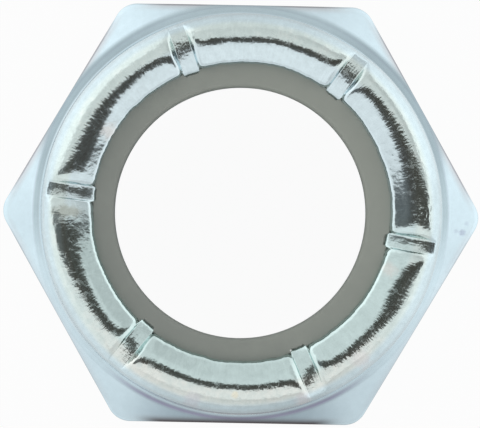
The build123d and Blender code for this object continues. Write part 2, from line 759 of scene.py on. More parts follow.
    def edge(self, columns: Columns) -> Columns:
        """How far the lip's edge stands past its plain length.

        Args:
            columns: The columns' angles.

        Returns:
            The distance down the lip at each column.
        """
        past = self.lip_spread + drifted(self.edge_drift, columns)
        past += self.oval * np.sin(columns) ** 2 - self.bent(columns) / cos(radians(self.lip_slope))
        for ripple in self.ragged:
            past += ripple.at(columns)
        for stake in self.stakes:
            near, across = self.beside(columns, stake)
            strip = 1 - ease(across, stake.half, stake.half + self.strip_edge)
            notch = np.exp(-(((across - stake.half - self.notch_place) / self.notch_width) ** 2))
            past += near * (stake.push * strip - self.notch_depth * notch)
        return past

    def rounding(self, columns: Columns) -> Columns:
        """Radius of the lip's edge, which is smaller on the bent strips.

        Args:
            columns: The columns' angles.

        Returns:
            The radius at each column.
        """
        strips = np.zeros_like(columns)
        for stake in self.stakes:
            near, across = self.beside(columns, stake)
            strips += near * (1 - ease(across, stake.half, stake.half + self.round_fade))
        return self.lip_round * (1 - (1 - self.strip_round) * strips)

    def shifted(self, columns: Columns, share: float) -> Columns:
        """How far the rolled metal stands out from its plain radius, being a little off centre.

        Args:
            columns: The columns' angles.
            share: 1 on the crest, and less down the outer side and the collar's wall.

        Returns:
            The distance at each column.
        """
        drift = drifted(self.drift, columns) + self.oval * np.sin(columns) ** 2
        bend = max(share - self.wall_share, 0) / (1 - self.wall_share)
        return share * (drift + self.wander.at(columns)) - bend * self.bent(columns)

    def rolled(self, columns: Columns, angle: float, under: float = 0.0) -> tuple[Columns, Columns]:
        """A row on the roll.

        Args:
            columns: The columns' angles.
            angle: Degrees round the roll from the outer wall.
            under: Depth through the metal.

        Returns:
            Its radius and height at each column.
        """
        out_r, out_z = self.outward(angle)
        r, z = self.centre[0] + self.roll_radius * out_r, self.centre[1] + self.roll_radius * out_z
        down = np.full(len(columns), under)
        if not under:
            down += self.sunk(columns, r, z, (out_r, out_z)) - self.uneven(columns, angle)
        rise = float(ease(np.array(angle), *self.drift_rise))
        share = self.wall_share + (1 - self.wall_share) * rise
        return r - out_r * down + self.shifted(columns, share), z - out_z * down

    def uneven(self, columns: Columns, angle: float) -> Columns:
        """Slight unevenness of the rolled metal at an angle round the roll."""
        share = float(ease(np.array(angle), *self.waver_rise))
        return share * (self.waver.at(columns + angle * self.waver_turn) - self.settling)

    def lip(self, columns: Columns, down: Measure, under: Measure = 0.0) -> tuple[Columns, Columns]:
        """A row on the straight part of the lip.

        Args:
            columns: The columns' angles.
            down: Share of the way down the lip.
            under: Depth through the lip.

        Returns:
            Its radius and height at each column.
        """
        ix, iz = self.inward
        slope = 90 + self.lip_slope
        out_r, out_z = self.outward(slope)
        plain = down * self.lip_length
        r = self.centre[0] + self.roll_radius * out_r + ix * plain
        z = self.centre[1] + self.roll_radius * out_z + iz * plain
        sunk = under + self.sunk(columns, r, z, (out_r, out_z)) - self.uneven(columns, slope)
        past = down * self.edge(columns)
        return r - out_r * sunk + ix * past + self.shifted(columns, 1.0), z - out_z * sunk + iz * past

    def lip_ring(self, columns: Columns, down: Measure, under: Measure = 0.0, gap: float = 0.0) -> Ring:
        """Points of a row on the lip, whose columns run straight along each stake.

        Args:
            columns: The columns' angles.
            down: Share of the way down the lip.
            under: Depth through the lip.
            gap: How far inward of the lip the row stands.

        Returns:
            The points.
        """
        r, z = self.lip(columns, down, under)
        return points_at(self.warp(columns, r - gap), r - gap, z)

    def roll_ring(self, columns: Columns, angle: float, under: float = 0.0) -> Ring:
        """Points of a row on the roll, at the columns' own angles."""
        return points_at(columns, *self.rolled(columns, angle, under))


@dataclass(frozen=True)
class Hexagon:
    """The wrenching part, with its bearing face and chamfers."""

    across_flats: float = 26.99
    corner_radius: float = 1.5
    height: float = 15.1
    bearing_inset: float = 0.7
    bearing_angle: float = 30.0
    top_angle: float = 30.0
    foot_inset: float = 0.13

    def radius(self, angle: np.ndarray) -> np.ndarray:
        """Radius of the hexagon at an angle.

        Args:
            angle: Angles in radians from a corner.

        Returns:
            The radius at each angle.
        """
        apothem = self.across_flats / 2
        half_side = pi / 6  # from a corner to the middle of a flat
        off = np.abs((angle + half_side) % (2 * half_side) - half_side)
        flat = apothem / np.cos(half_side - off)
        middle = (apothem - self.corner_radius) / cos(half_side)
        tangent = atan2(self.corner_radius / 2, middle + self.corner_radius * cos(half_side))
        inside = np.clip(self.corner_radius**2 - (middle * np.sin(off)) ** 2, 0, None)
        return np.where(off < tangent, middle * np.cos(off) + np.sqrt(inside), flat)

    def lower(self, radius: np.ndarray) -> np.ndarray:
        """Height of the lower chamfer at a radius."""
        start = self.across_flats / 2 - self.bearing_inset
        return (radius - start) * tan(radians(self.bearing_angle))

    def upper(self, radius: np.ndarray) -> np.ndarray:
        """Height of the upper chamfer at a radius."""
        start = self.across_flats / 2 - self.foot_inset
        return self.height - (radius - start) * tan(radians(self.top_angle))


@dataclass(frozen=True)
class Thread:
    """The right-hand thread, from the countersink to the insert's shoulder."""

    pitch: float = 2.54
    major: float = 9.525
    minor: float = 8.325
    mouth: float = 9.9
    start: float = 0.36
    end: float = 16.4
    flank_angle: float = 30.0
    root_curve: float = 0.546875  # fall of the rounded root per square of the distance from it
    soft: float = 0.05  # rounding of the thread's crests
    columns: int = 200
    margin: float = 0.03  # between the first and last rings and the rows of the helix
    root_rows: tuple[float, ...] = (0.0, 0.16, 0.24, 0.5, 0.78, 0.87, 0.98)  # along the axis from a root

    def radius(self, angle: np.ndarray, height: np.ndarray) -> np.ndarray:
        """Radius of the threaded bore.

        Args:
            angle: Angles in radians.
            height: Heights.

        Returns:
            The radius at each place.
        """
        phase = height / self.pitch - angle / (2 * pi)
        off = np.abs((phase + 0.5) % 1 - 0.5) * self.pitch
        half_flat = self.pitch / 16
        flank = self.major - (off - half_flat) / tan(radians(self.flank_angle))
        groove = np.minimum(flank, self.major - self.root_curve * off**2)
        groove = self.minor + self.soft * np.log1p(np.exp((groove - self.minor) / self.soft))
        countersink = self.mouth - height
        return np.maximum(groove, countersink)

    def weave(self, skin: Skin) -> tuple[np.ndarray, np.ndarray, Columns]:
        """Adds the threaded bore, whose rows follow the helix.

        Args:
            skin: The skin that it is part of.

        Returns:
            The numbers of its lowest and highest rings, and their angles.
        """
        angles = np.arange(self.columns) * 2 * pi / self.columns
        lowest = self._ring(skin, angles, np.full(self.columns, self.start))
        highest = self._ring(skin, angles, np.full(self.columns, self.end))
        across = [-place for place in self.root_rows[:0:-1]] + [*self.root_rows, self.pitch / 2]
        shift = len(across)
        turns = int((self.end + 2 * self.pitch) / self.pitch) + 1
        rows = shift * turns
        numbers = np.zeros((rows, self.columns), int)
        for row in range(rows):
            turn, place = divmod(row, shift)
            height = (turn - 1) * self.pitch + across[place] + self.pitch * angles / (2 * pi)
            low, high = height < self.start + self.margin, height > self.end - self.margin
            free = ~(low | high)
            numbers[row] = np.where(low, lowest, highest)
            numbers[row, free] = self._ring(skin, angles[free], height[free])
        numbers = np.column_stack([numbers, numbers[np.minimum(np.arange(rows) + shift, rows - 1), 0]])
        for low, high in zip(numbers, numbers[1:]):
            for corners in zip(low, low[1:], high[1:], high):
                face = [int(here) for back, here in zip(corners[-1:] + corners, corners) if here != back]
                if len(set(face)) >= 3:
                    skin.faces.append(tuple(face))
        return lowest, highest, angles

    def _ring(self, skin: Skin, angles: Columns, heights: Columns) -> np.ndarray:
        """Adds points of the bore to a skin and gives their numbers."""
        return skin.ring(points_at(angles, self.radius(angles, heights), heights))


# ---------------------------------------------------------------- finishes


@dataclass(frozen=True)
class Stain:
    """A faint patch of another colour."""

    place: Point
    size: float
    colour: Colour
    strength: float
    stretch: float = 1.0  # its length along X, as a share of its width
    core: float = 0.3  # radius over which it has its full strength, as a share of its size

    def mask(self, x: Value, y: Value, noise: Value) -> Value:
        """Where the patch is.

        Args:
            x: Place in millimetres.
            y: Place in millimetres.
            noise: What its outline wanders by.

        Returns:
            The patch's strength inside it and 0 elsewhere.
        """
        off_x, off_y = (x - self.place[0]) / self.stretch, y - self.place[1]
        away = distance(off_x, off_y) + noise * self.size
        return away.step(self.size, self.size * self.core) * self.strength


@dataclass(frozen=True)
class Lobe:
    """A stretch of directions round the axis where something is stronger."""

    east: float  # share of +X in the direction of its middle
    north: float  # share of +Y
    start: float  # how nearly a direction points there where the lobe begins
    end: float  # and where it has its full strength
    strength: float = 1.0

    def at(self, east: Value, north: Value) -> Value:
        """Its strength in the direction that has this cosine and sine."""
        return (east * self.east + north * self.north).step(self.start, self.end) * self.strength


class Spot:
    """A place on the plate and the noise there, as shader values."""

    def __init__(self, tree: NodeTree) -> None:
        """Works out the place.

        Args:
            tree: The material's nodes.
        """
        self.tree = tree
        self.x, self.y, self.z = tree.place()
        self.radius = distance(self.x, self.y)
        self.east = self.x / self.radius
        self.north = self.y / self.radius
        where = tree.vector(self.x, self.y, self.z)
        self.broad = tree.noise(where, 0.35)
        self.mottle = tree.noise(where, 2.2)
        self.patches = tree.noise(where, 2.6, 3.0, 0.6, 0.6)
        self.grain = tree.noise(where, 11.0, 2.0, 0.6)
        self.streak = self.drawn_out(85.0, 1.5, 0.3)
        self.lumps = self.drawn_out(30.0, 4.0, 0.4)

    def drawn_out(self, around: float, across: float, bent: float) -> Value:
        """Noise that is drawn out across the roll, as the rolling tool leaves it.

        Args:
            around: How many features there are to a radian round the axis.
            across: How many there are to a millimetre outward and down.
            bent: How much the noise is distorted.

        Returns:
            The noise.
        """
        outward = (self.radius - self.z) * across
        where = self.tree.vector(self.east * around, self.north * around, outward)
        return self.tree.noise(where, 1.0, 1.5, 0.5, bent)

    def flat(self) -> Value:
        """Distance from the axis, square to the nearest flat of the hexagon."""
        cosine, sine = 0.866, 0.5  # of 30 degrees
        east, north = self.x * cosine, self.y * sine
        return abs(self.y).at_least(abs(east + north)).at_least(abs(east - north))


@dataclass(frozen=True)
class ZincPlate:
    """Bright zinc plate on steel, bluish, with faint tints and the marks of forming, and with painted shade
    and a painted highlight round the hexagon's top and the collar's foot.
    """

    name: str = "zinc_plate"
    facet: Colour = (0.70, 0.86, 0.935)
    # colour of the painted shade on the facets towards -Y
    facet_shade: Colour = (0.42, 0.53, 0.60)
    blush: Colour = (0.62, 0.66, 0.69)
    # colour of the painted dark outline along the flats' edges
    edge: Colour = (0.28, 0.28, 0.31)
    # colours of the painted shade in the crease at the collar's foot, the deeper one in the lobes
    foot: Colour = (0.45, 0.565, 0.61)
    groove_deep_shade: Colour = (0.34, 0.43, 0.47)
    wall_foot_highlight: Colour = (0.88, 0.92, 0.93)
    lavender: Colour = (0.33, 0.34, 0.45)
    south_edge_shade: Colour = (0.10, 0.085, 0.09)
    shoulder: Colour = (0.67, 0.81, 0.86)
    outer: Colour = (0.70, 0.81, 0.79)
    cream: Colour = (0.77, 0.80, 0.76)
    lip: Colour = (0.69, 0.81, 0.85)
    sea: Colour = (0.66, 0.81, 0.80)
    roughness: float = 0.14
    grain_rough: float = 0.06
    patch_rough: float = 0.14  # on the crown's matt patches
    floor_rough: float = 0.06  # on the stakes' floors
    satin_rough: float = 0.2  # on the collar's wall
    streak_depth: float = 0.0058  # of the rolling tool's marks, in millimetres
    streak_more: float = 0.0082  # by which they are deeper towards +Y and -Y
    mottle_depth: float = 0.016
    lump_depth: float = 0.008
    grain_depth: float = 0.0006
    floor_streak: float = 0.005  # depth of the streaks on the stakes' floors
    floor_lump: float = 0.016  # depth of the lumps there
    beaten_lump: float = 0.042  # depth of the lumps where the plate is beaten
    # Heights over which looks come in or end.
    top_rise: Span = (14.0, 14.6)
    satin_rise: Span = (15.4, 15.8)
    satin_end: Span = (21.3, 20.7)
    collar_rise: Span = (15.5, 17.0)
    marks_rise: Span = (16.5, 20.5)
    crown_rise: Span = (18.5, 20.8)
    # Distances from the axis over which they come in or end.
    lip_rise: Span = (11.5, 11.0)
    slope_rise: Span = (12.5, 12.1)
    foot_rise: Span = (12.99, 12.91)
    groove_rise: Span = (12.935, 13.08)
    groove_end: Span = (13.5, 13.3)
    groove_end_north: Span = (13.85, 13.46)
    facet_shade_rise: Span = (13.15, 13.4)
    edge_blush_rise: Span = (12.95, 13.5)  # square to a flat
    rim_rise: Span = (13.34, 13.47)  # square to a flat
    corner_rise: Span = (15.1, 15.3)
    south_rise: Span = (12.85, 13.5)  # towards -Y, of the painted shade along that edge
    # Lowest and highest distances from the axis, and softness.
    rolled_band: tuple[float, float, float] = (10.8, 12.1, 0.35)
    line_band: tuple[float, float, float] = (13.09, 13.33, 0.11)
    faint_band: tuple[float, float, float] = (13.38, 13.47, 0.05)
    # Parts of the direction from the axis that point to +Y, over which looks come in.
    facet_shade_side: Span = (-0.84, -0.98)
    lit_side: Span = (-0.3, 0.1)
    end_side: Span = (0.1, 0.5)
    groove_side: Span = (-0.35, 0.05)
    groove_pale_side: Span = (0.75, 1.0)
    line_side: Span = (-0.74, -0.92)
    faint_side: Span = (-0.3, 0.0)
    cream_side: Span = (-0.5, -0.9)
    sea_side: Span = (0.2, -0.3)
    # Strengths of looks.
    unlit: float = 0.3  # of the flats' edge tint and of the painted dark outline on the sides away from +Y
    outline_shade_strength: float = 0.8
    groove_least: float = 0.35  # strength of the painted groove shade towards -Y
    groove_pale: float = 0.2  # by which the painted groove shade is fainter towards +Y
    highlight_lobes: float = 0.4  # share of the painted shade's colour in the painted highlight, in the lobes
    faint_strength: float = 0.15
    # Shares of the noises in the plate's level, on the crown and everywhere, and in its cream tint.
    crown_cloud: tuple[float, float, float] = (0.12, 0.1, 0.1)  # mottle, grain and streak
    cloud: tuple[float, float] = (0.1, 0.1)  # mottle and broad
    creaminess: tuple[float, float, float] = (0.7, 1.2, 0.8)  # side, mottle and broad
    matt_rise: Span = (0.04, 0.16)  # values of the noise over which the matt patches come in
    floor_side: Span = (0.55, 0.42)  # distances from a stake's middle over which its floor's look comes in
    floor_start: Span = (2.0, 3.0)  # distances from the axis, which keep it off the opposite side
    foot_lobes: tuple[Lobe, Lobe] = (Lobe(0.79, 0.62, 0.84, 0.97), Lobe(-0.77, 0.64, 0.8, 0.95))
    stains: tuple[Stain, ...] = (
        Stain((-0.15, -11.6), 0.3, (0.86, 0.83, 0.68), 0.8),
        Stain((-8.6, 5.1), 0.8, (0.80, 0.77, 0.74), 0.6),
        Stain((7.9, -9.2), 0.9, (0.79, 0.76, 0.76), 0.5),
        Stain((9.6, -3.4), 0.7, (0.80, 0.79, 0.75), 0.6),
        Stain((-2.9, -12.0), 0.8, (0.72, 0.72, 0.78), 0.5),
        Stain((4.2, -11.9), 0.7, (0.80, 0.74, 0.76), 0.5),
        Stain((-11.1, -0.03), 0.55, (0.52, 0.57, 0.52), 0.85, 2.3),
    )
    beaten: Stain = Stain((11.55, 0.35), 0.9, (0.69, 0.81, 0.85), 1.0)  # a rough patch on the crown
    scuffs: tuple[Stain, ...] = (
        Stain((14.34, -0.93), 0.3, (0.46, 0.53, 0.66), 0.75),
        Stain((14.62, -0.33), 0.22, (0.48, 0.55, 0.68), 0.4),
        Stain((13.92, -0.84), 0.2, (0.48, 0.55, 0.68), 0.35),
    )

    def material(self, stakes: Sequence[float]) -> bpy.types.Material:
        """Makes the material.

        Args:
            stakes: The stakes' angles in degrees from the +X corner.

        Returns:
            The material, which reads its place from the object's own frame.
        """
        made, tree = new_material(self.name)
        spot = Spot(tree)
        crown = spot.z.step(*self.marks_rise)
        mottle, grain, streak = self.crown_cloud
        cloud = (spot.mottle * mottle + spot.grain * grain + spot.streak * streak) * crown
        level = 1.0 + cloud + (spot.mottle * self.cloud[0] + spot.broad * self.cloud[1])
        tint = self.crown_tint(spot, self.hexagon_tint(spot))
        tint = tree.add("ShaderNodeVectorMath", {"operation": "SCALE"}, {0: tint, "Scale": level})
        rolled = spot.radius.band(*self.rolled_band) * crown
        floors = self.floors(spot, stakes) * crown
        beaten = self.beaten.mask(spot.x, spot.y, spot.mottle) * crown
        height = rolled * spot.streak * (self.streak_depth + abs(spot.north) * self.streak_more)
        height += crown * (spot.mottle * self.mottle_depth + spot.lumps * self.lump_depth)
        height += spot.grain * self.grain_depth
        height += floors * (spot.streak * self.floor_streak + spot.lumps * self.floor_lump)
        height += beaten * spot.lumps * self.beaten_lump
        matt = spot.patches.step(*self.matt_rise) * rolled
        wall = spot.z.step(*self.satin_end) * spot.z.step(*self.satin_rise)
        roughness = self.roughness + spot.grain * self.grain_rough + matt * self.patch_rough
        roughness += floors * self.floor_rough + wall * self.satin_rough
        tree.surface(height, {"Base Color": tint, "Metallic": 1.0, "Roughness": roughness})
        return made

    def hexagon_tint(self, spot: Spot) -> Value:
        """Colour of the hexagon and of the collar's foot, with painted shade and a painted highlight.

        Args:
            spot: The place.

        Returns:
            The colour.
        """
        mix = spot.tree.mix
        radius, north = spot.radius, spot.north
        top = spot.z.step(*self.top_rise)
        flat = spot.flat()
        # Painted shade: the facets beyond the collar's foot turn darker towards -Y, a painted reflection of
        # the shaded floor.
        south_facet_shade = north.step(*self.facet_shade_side) * radius.step(*self.facet_shade_rise)
        tint = mix(south_facet_shade * top, self.facet, self.facet_shade)
        lit = self.unlit + north.step(*self.lit_side) * (1 - self.unlit)
        # A greyer tint that grows towards the flats' edges, stronger towards +Y.
        edge_blush = flat.step(*self.edge_blush_rise) * lit
        tint = mix(edge_blush * top, tint, self.blush)
        # Painted shade: a dark outline along the flats' edges and round the corners, a painted reflection of
        # the nut's shadow on the floor.
        rim = flat.step(*self.rim_rise).at_least(radius.step(*self.corner_rise)) * lit
        tint = mix(rim * top * self.outline_shade_strength, tint, self.edge)
        for scuff in self.scuffs:
            tint = mix(scuff.mask(spot.x, spot.y, spot.grain) * top, tint, scuff.colour)
        # Painted shade in the crease at the collar's foot: deeper in two lobes of directions, weakest towards
        # -Y and a little fainter towards +Y.
        lobes = self.foot_lobes[0].at(spot.east, north) + self.foot_lobes[1].at(spot.east, north)
        ahead = north.step(*self.end_side)
        end = radius.step(*self.groove_end_north) * ahead + radius.step(*self.groove_end) * (1 - ahead)
        shade = self.groove_least + north.step(*self.groove_side) * (1 - self.groove_least)
        shade *= 1 - north.step(*self.groove_pale_side) * self.groove_pale
        groove = radius.step(*self.groove_rise) * end * shade
        tint = mix(groove * top, tint, mix(lobes, self.foot, self.groove_deep_shade))
        # Painted highlight: a pale line at the foot of the collar's wall, toned towards the foot's shade
        # colour in the lobes.
        foot = radius.step(*self.foot_rise)
        tint = mix(foot * top, tint, mix(lobes * self.highlight_lobes, self.wall_foot_highlight, self.foot))
        line = radius.band(*self.line_band) * north.step(*self.line_side)
        line += radius.band(*self.faint_band) * north.step(*self.faint_side) * self.faint_strength
        tint = mix(line * top, tint, self.lavender)
        # Painted shade: the hexagon's edge towards -Y turns nearly black, a painted reflection of the shaded
        # floor.
        south = (spot.y * -1.0).step(*self.south_rise) * top
        return mix(south * south, tint, self.south_edge_shade)

    def crown_tint(self, spot: Spot, below: Value) -> Value:
        """Colour of the collar and its crown.

        Args:
            spot: The place.
            below: Colour of what lies below the collar.

        Returns:
            The colour.
        """
        mix = spot.tree.mix
        tint = mix(spot.z.step(*self.collar_rise), below, self.shoulder)
        crown = spot.z.step(*self.crown_rise)
        side, mottle, broad = self.creaminess
        creamy = spot.north.step(*self.cream_side) * side + spot.mottle * mottle + spot.broad * broad
        slope = mix(creamy.at_least(0.0).at_most(1.0), self.outer, self.cream)
        tint = mix(spot.radius.step(*self.slope_rise) * crown, tint, slope)
        lip = mix(spot.north.step(*self.sea_side), self.lip, self.sea)
        tint = mix(spot.radius.step(*self.lip_rise) * crown, tint, lip)
        for stain in self.stains:
            tint = mix(stain.mask(spot.x, spot.y, spot.mottle) * crown, tint, stain.colour)
        return tint

    def floors(self, spot: Spot, stakes: Sequence[float]) -> Value:
        """Mask of the stakes' floors.

        Args:
            spot: The place.
            stakes: The stakes' angles in degrees.

        Returns:
            1 on the floors and 0 elsewhere.
        """
        masks = []
        for angle in map(radians, stakes):
            across = abs(spot.y * cos(angle) - spot.x * sin(angle))
            ahead = spot.x * cos(angle) + spot.y * sin(angle)
            masks.append(across.step(*self.floor_side) * ahead.step(*self.floor_start))
        return sum(masks)


@dataclass(frozen=True)
class GreyNylon:
    """Matt moulded nylon, paler towards one side by painted light."""

    name: str = "grey_nylon"
    colour: Colour = (0.297, 0.32, 0.294)
    pale_and_lit: Colour = (0.375, 0.403, 0.36)
    white: Colour = (0.85, 0.87, 0.84)
    painted_light_side: Point = (0.8, 0.45)  # direction in which the ring grows paler, by painted light
    pale_run: float = 9.0  # distance over which it does
    paleness: tuple[float, float, float] = (0.6, 0.3, 0.5)  # shares of cloud, grain and side in it, the side's share being painted light
    pale_rise: Span = (-0.6, 0.6)
    chip: Point = (3.38, -8.72)  # place of a white chip
    chip_edge: Span = (0.09, 0.05)  # distances from its middle
    roughness: float = 0.6
    grain_rough: float = 0.1
    grain_depth: float = 0.004
    cloud_depth: float = 0.01
    refraction: float = 1.53

    def material(self) -> bpy.types.Material:
        """Makes the material.

        Returns:
            The material, which reads its place from the object's own frame.
        """
        made, tree = new_material(self.name)
        x, y, z = tree.place()
        where = tree.vector(x, y, z)
        cloud = tree.noise(where, 1.1, 3.0, 0.55)
        grain = tree.noise(where, 14.0, 2.0, 0.6)
        # Painted light: the ring grows paler towards one side, on top of its cloudy tone.
        side = (x * self.painted_light_side[0] + y * self.painted_light_side[1]) / self.pale_run
        shares = self.paleness
        paler = (cloud * shares[0] + grain * shares[1] + side * shares[2]).step(*self.pale_rise)
        colour = tree.mix(paler, self.colour, self.pale_and_lit)
        chip = distance(x - self.chip[0], y - self.chip[1]).step(*self.chip_edge)
        sockets: dict[Union[int, str], Operand] = {
            "Base Color": tree.mix(chip, colour, self.white),
            "Roughness": self.roughness + grain * self.grain_rough,
            "IOR": self.refraction,
        }
        tree.surface(grain * self.grain_depth + cloud * self.cloud_depth, sockets)
        return made


# ---------------------------------------------------------------- sub-assemblies


class Slot(Enum):
    """The record's material slots."""

    ZINC = "zinc_plated_steel"
    NYLON = "grey_nylon"


@dataclass
class NutBody:
    """The steel body: hexagon, collar, staked crown and threaded bore."""

    hexagon: Hexagon = field(default_factory=Hexagon)
    crown: Crown = field(default_factory=Crown)
    thread: Thread = field(default_factory=Thread)
    finish: ZincPlate = field(default_factory=ZincPlate)
    mouth_run: float = 0.25  # of the countersink, from the first ring up to its mouth
    mouth_round: float = 0.1
    bearing_round: float = 0.25
    flat_edge: float = 0.2
    foot_round: float = 1.0
    lean_start: float = 15.6  # height on the collar's wall at which it begins to follow the crest
    wall_rows: tuple[float, ...] = (16.2, 17.5, 18.8, 19.8, 20.3)  # heights of its rings
    # The first angle round the roll, the last and the number of rings, of each of its stretches.
    roll_rows: tuple[tuple[float, float, int], ...] = ((0, 24, 5), (28, 36, 5), (41, 115, 18))
    straight_rise: Span = (0.0, 25.0)  # degrees round the roll over which the columns begin to follow stakes
    lip_rows: int = 7  # rings down the lip
    edge_rows: int = 6  # and round its edge
    tip_depths: tuple[float, ...] = (0.6, 0.85)  # of the rings on the lip's edge, below its top
    under_lip: tuple[float, ...] = (0.6, 0.0)  # places of the rings on its underside, down the lip
    under_rows: tuple[float, ...] = (80.0, 40.0, 0.0)  # degrees round the roll's underside
    shoulder: float = 16.4
    shoulder_end: float = 10.2  # radius of the last ring before the thread
    node: str = "nut_body"

    def outside(self, columns: Columns) -> list[Ring]:
        """Rings from the countersink's mouth, over the bearing face and the flats, to the collar.

        Args:
            columns: The columns' angles.

        Returns:
            The rings, in order.
        """
        flat = self.hexagon.radius(columns)
        bearing = self.hexagon.across_flats / 2 - self.hexagon.bearing_inset
        collar = self.crown.collar_radius
        collar_top = self.crown.centre[1]
        mouth = self.thread.mouth
        foot = self.hexagon.upper(np.array(collar))
        corners = (
            Corner(mouth - self.mouth_run, self.mouth_run),
            Corner(mouth, 0, self.mouth_round, 3),
            Corner(bearing, 0, self.bearing_round, 4, (0.03, 0.35, 0.65, 0.97)),
            Corner(flat, self.hexagon.lower(flat), self.flat_edge, 5, (0.12, 0.5, 0.88)),
            Corner(flat, self.hexagon.upper(flat), self.flat_edge, 6, (0.02, 0.12, 0.5, 0.88, 0.98)),
            Corner(collar, foot, self.foot_round, 12, (0.1, 0.5, 0.9)),
            Corner(collar, collar_top),
        )
        rows = section_rows(corners, len(columns))[:-1]
        for height in self.wall_rows:
            share = self.crown.wall_share * float(ease(np.array(height), self.lean_start, collar_top))
            rows.append((collar + self.crown.shifted(columns, share), np.full(len(columns), height)))
        return [points_at(columns, r, z) for r, z in rows]

    def over(self, columns: Columns) -> list[Ring]:
        """Rings over the crown and down the lip to its edge.

        Args:
            columns: The columns' angles.

        Returns:
            The rings, in order.
        """
        crown = self.crown
        rings = []
        for angle in np.concatenate([np.linspace(*rows) for rows in self.roll_rows]):
            share = float(ease(np.array(angle), *self.straight_rise))
            r, z = crown.rolled(columns, float(angle))
            rings.append(points_at(crown.warp(columns, r, share), r, z))
        edge = crown.rounding(columns)
        last = 1 - edge / crown.lip_length
        for down in np.linspace(0, 1, self.lip_rows + 1)[1:]:
            rings.append(crown.lip_ring(columns, down * last))
        for step in range(1, self.edge_rows + 1):
            turn = radians(90 * step / self.edge_rows)
            rings.append(crown.lip_ring(columns, last + (1 - last) * sin(turn), edge * (1 - cos(turn))))
        return rings

    def inside(self, columns: Columns) -> list[Ring]:
        """Rings from the lip's edge, through the insert's pocket, to its shoulder.

        Args:
            columns: The columns' angles.

        Returns:
            The rings, in order.
        """
        crown = self.crown
        rings = [crown.lip_ring(columns, 1.0, under) for under in (*self.tip_depths, crown.wall)]
        rings += [crown.lip_ring(columns, down, crown.wall) for down in self.under_lip]
        rings += [crown.roll_ring(columns, angle, crown.wall) for angle in self.under_rows]
        height = np.full(len(columns), self.shoulder)
        for radius in (crown.collar_radius - crown.wall, self.shoulder_end):
            rings.append(points_at(columns, np.full(len(columns), radius), height))
        return rings

    def build(self) -> bpy.types.Object:
        """Builds, places and dresses the body.

        Returns:
            The piece.
        """
        columns = self.crown.columns()
        skin = Skin()
        low, high, angles = self.thread.weave(skin)
        rings = [skin.ring(r) for r in (*self.outside(columns), *self.over(columns), *self.inside(columns))]
        for first, second in zip(rings, rings[1:]):
            skin.join(first, second)
        skin.zip(low, rings[0], angles, columns)
        skin.zip(high, rings[-1], angles, columns)
        piece = skin.piece("steel_body")
        piece.data.materials.append(self.finish.material([stake.angle for stake in self.crown.stakes]))
        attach(piece, "root")
        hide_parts(self.node)
        return piece


@dataclass
class NylonInsert:
    """The locking ring that the crown holds down."""

    crown: Crown = field(default_factory=Crown)
    finish: GreyNylon = field(default_factory=GreyNylon)
    bore: float = 8.065
    bottom: float = 16.4
    top: float = 21.152
    edge: float = 0.3
    bottom_edge: float = 0.05
    gap: float = 0.012  # to the steel
    drift: Point = (-0.035, 0.066)  # of the bore from the axis
    tip_depth: float = 0.8  # of the ring on the lip's edge, below its top
    under_rows: tuple[float, ...] = (60.0, 0.0)  # degrees round the roll's underside
    node: str = "nylon_insert"

    def build(self) -> bpy.types.Object:
        """Builds, places and dresses the insert.

        Returns:
            The piece.
        """
        crown = self.crown
        columns = crown.columns()
        tip_r, tip_z = crown.lip(columns, 1.0)
        lip = tip_r + tan(radians(crown.lip_slope)) * (tip_z - self.top)
        bore = self.bore + drifted(self.drift, columns)
        under = crown.wall + self.gap
        corners = (
            Corner(crown.collar_radius - under, self.bottom),
            Corner(bore, self.bottom, self.bottom_edge, 2, (0.5,)),
            Corner(bore, self.top, self.edge, 6, (0.1, 0.5, 0.9)),
            Corner(lip - self.gap, self.top, run=(0.05, 0.3, 0.6, 0.8, 0.9, 0.97)),
        )
        rings = [points_at(columns, r, z) for r, z in section_rows(corners, len(columns))]
        rings += [crown.lip_ring(columns, 1.0, depth, self.gap) for depth in (self.tip_depth, under)]
        rings.append(crown.lip_ring(columns, 0.0, under))
        rings += [crown.roll_ring(columns, angle, under) for angle in self.under_rows]
        skin = Skin()
        numbers = [skin.ring(ring) for ring in rings]
        for first, second in zip(numbers, numbers[1:] + numbers[:1]):
            skin.join(first, second)
        piece = skin.piece("nylon_ring")
        piece.data.materials.append(self.finish.material())
        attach(piece, "root")
        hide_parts(self.node)
        return piece


